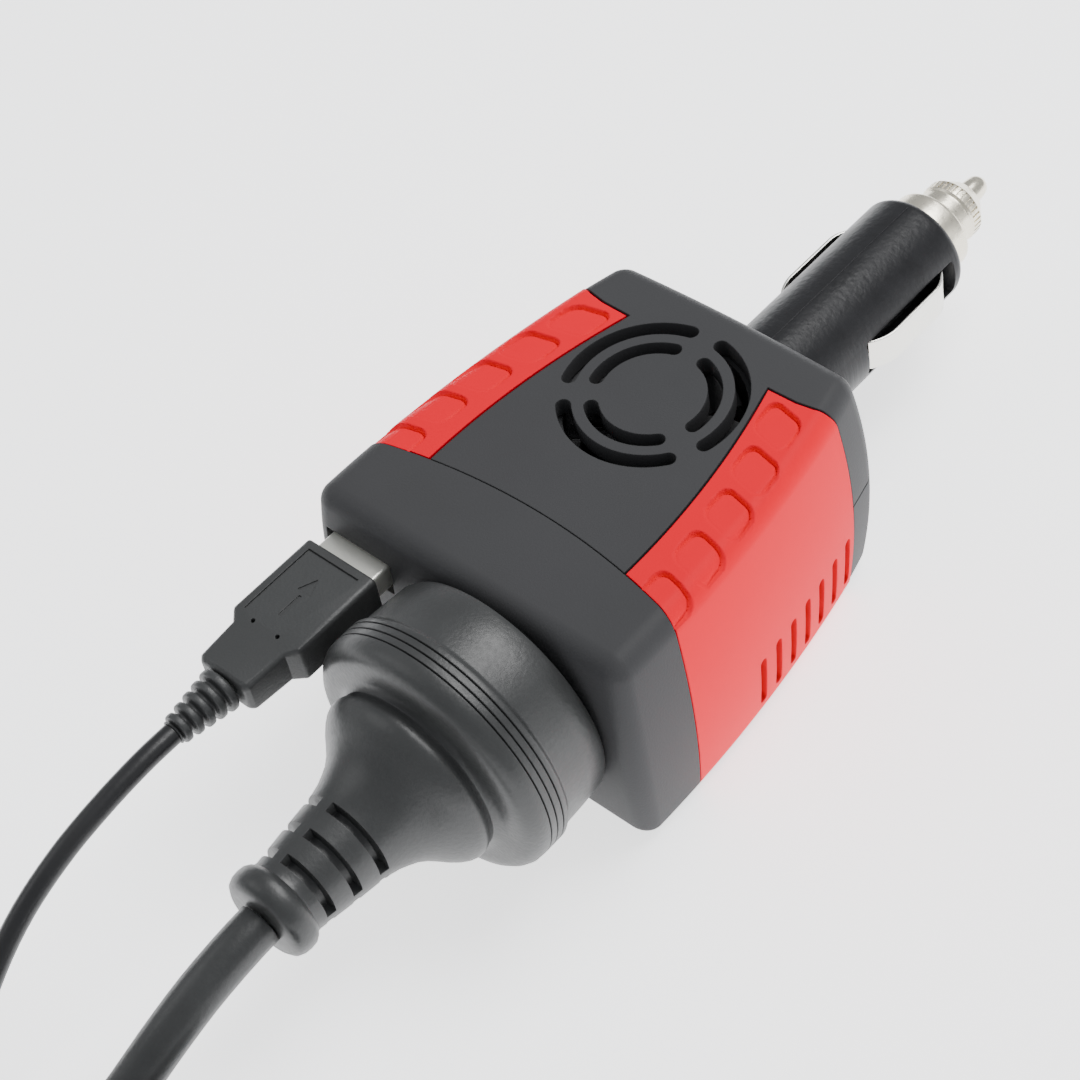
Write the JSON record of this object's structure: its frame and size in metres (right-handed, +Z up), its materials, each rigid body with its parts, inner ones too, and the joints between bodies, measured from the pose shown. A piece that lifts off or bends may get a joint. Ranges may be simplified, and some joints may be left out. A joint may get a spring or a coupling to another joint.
{
  "type": "car power inverter",
  "caption": "Hand-sized car power inverter with a 12 V socket plug behind, red side grips, a top fan grille, and a mains plug and a USB lead in its front.",
  "frame": {"origin": "on the surface the case rests on, under the middle of the inverter from its front face to the tip of its 12 V plug", "axes": "+Y along the 12 V plug towards its tip, +Z up out of the fan grille, +X to the right seen from behind the outlets"},
  "size_m": [0.0913, 0.3364, 0.0459],
  "materials": {
    "case": "satin",
    "grip": "satin",
    "barrel": "satin",
    "rubber": "satin",
    "nickel": "polished",
    "brass": "plain",
    "steel": "plain",
    "aluminium": "plain",
    "board": "satin",
    "copper": "enamelled",
    "ferrite": "matte",
    "sleeve": "gloss",
    "insulator": "satin",
    "glass": "clear"
  },
  "bodies": {
    "case": {"upper_shell": "case", "lower_shell": "case", "front_cap": "case", "fan_frame": "case", "right_grip": "grip", "left_grip": "grip", "plug_barrel": "barrel", "outlet_insert": "barrel", "nose_nut": "nickel", "line_contact": "brass", "neutral_contact": "brass", "rear_terminal": "brass", "positive_wire": "brass", "case_screw_1": "steel", "case_screw_2": "steel", "case_screw_3": "steel", "case_screw_4": "steel", "fan_screw_1": "steel", "fan_screw_2": "steel", "usb_port_shell": "steel", "contact_spring": "steel", "heat_sink": "aluminium", "circuit_board": "board", "transformer_winding": "copper", "choke": "copper", "transformer_core": "ferrite", "power_transistor_1": "ferrite", "power_transistor_2": "ferrite", "fan_motor": "ferrite", "negative_wire": "ferrite", "input_capacitor": "sleeve", "output_capacitor": "sleeve", "usb_port_block": "insulator", "nose_collar": "insulator"},
    "fan": {"fan_rotor": "case"},
    "tip": {"tip_pin": "nickel", "fuse": "glass"},
    "right_contact": {"right_ground_contact": "nickel"},
    "left_contact": {"left_ground_contact": "nickel"},
    "mains_lead": {"mains_plug": "rubber", "line_pin": "nickel", "neutral_pin": "nickel", "mains_cord": "rubber", "mains_coil": "rubber", "mains_coil_tie": "rubber", "mains_tail": "rubber", "mains_connector_boot": "rubber", "mains_connector": "rubber"},
    "usb_lead": {"usb_overmould": "rubber", "usb_plug_shell": "nickel", "usb_plug_insulator": "insulator", "usb_strain_relief": "rubber", "usb_cord": "rubber", "usb_coil": "rubber", "usb_coil_tie": "rubber", "usb_tail": "rubber", "usb_far_relief": "rubber", "usb_far_mould": "rubber", "usb_far_shell": "nickel"}
  },
  "joints": [
    {"name": "fan_spin", "type": "hinge", "parent": "case", "child": "fan", "pos_m": [0, -0.0191, 0], "axis": [0, 0, 1], "continuous": true},
    {"name": "tip_press", "type": "slide", "parent": "case", "child": "tip", "axis": [0, -1, 0], "range_m": [0, 0.003], "stiffness_N_per_m": 600, "springref_m": -0.004, "deforming": ["contact_spring"]},
    {"name": "right_contact_press", "type": "slide", "parent": "case", "child": "right_contact", "axis": [-1, 0, 0], "range_m": [0, 0.0012], "stiffness_N_per_m": 1500, "springref_m": -0.001},
    {"name": "left_contact_press", "type": "slide", "parent": "case", "child": "left_contact", "axis": [1, 0, 0], "range_m": [0, 0.0012], "stiffness_N_per_m": 1500, "springref_m": -0.001},
    {"name": "mains_plug_out", "type": "slide", "parent": "case", "child": "mains_lead", "axis": [0, -1, 0], "range_m": [0, 0.024]},
    {"name": "usb_plug_out", "type": "slide", "parent": "case", "child": "usb_lead", "axis": [0, -1, 0], "range_m": [0, 0.016]}
  ]
}
